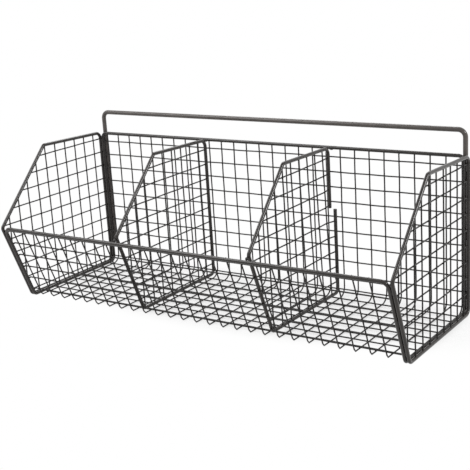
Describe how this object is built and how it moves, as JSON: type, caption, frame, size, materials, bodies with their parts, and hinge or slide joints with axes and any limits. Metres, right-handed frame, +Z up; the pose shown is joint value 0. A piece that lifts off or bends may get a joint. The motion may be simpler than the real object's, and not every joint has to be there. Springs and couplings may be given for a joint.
{
  "type": "three-bin wire wall basket",
  "caption": "Dark coated wire wall basket with divided bins, leaning front and pointed end panels, hung by a bar.",
  "frame": {"origin": "centre of the bounding box's underside, where the bottom rods stand", "axes": "+X along the basket to the right as seen from the front, +Y towards the wall, +Z up"},
  "size_m": [0.5664, 0.219, 0.2279],
  "materials": {
    "coat": "semi-gloss"
  },
  "bodies": {
    "root": {"cross_wire_01": "coat", "cross_wire_02": "coat", "cross_wire_03": "coat", "cross_wire_04": "coat", "cross_wire_05": "coat", "cross_wire_06": "coat", "cross_wire_07": "coat", "cross_wire_08": "coat", "cross_wire_09": "coat", "cross_wire_10": "coat", "cross_wire_11": "coat", "cross_wire_12": "coat", "cross_wire_13": "coat", "cross_wire_14": "coat", "cross_wire_15": "coat", "cross_wire_16": "coat", "cross_wire_17": "coat", "cross_wire_18": "coat", "cross_wire_19": "coat", "cross_wire_20": "coat", "cross_wire_21": "coat", "cross_wire_22": "coat", "cross_wire_23": "coat", "cross_wire_24": "coat", "divider_left": "coat", "divider_right": "coat", "end_panel_left": "coat", "end_panel_right": "coat", "hanger_bar": "coat", "profile_wire_01": "coat", "profile_wire_02": "coat", "profile_wire_03": "coat", "profile_wire_04": "coat", "profile_wire_05": "coat", "profile_wire_06": "coat", "profile_wire_07": "coat", "profile_wire_08": "coat", "profile_wire_09": "coat", "profile_wire_10": "coat", "profile_wire_11": "coat", "profile_wire_12": "coat", "profile_wire_13": "coat", "profile_wire_14": "coat", "profile_wire_15": "coat", "profile_wire_16": "coat", "profile_wire_17": "coat", "profile_wire_18": "coat", "profile_wire_19": "coat", "profile_wire_20": "coat", "profile_wire_21": "coat", "profile_wire_22": "coat", "profile_wire_23": "coat", "profile_wire_24": "coat", "profile_wire_25": "coat", "profile_wire_26": "coat", "profile_wire_27": "coat", "profile_wire_28": "coat", "wrap_frame": "coat"}
  },
  "joints": []
}
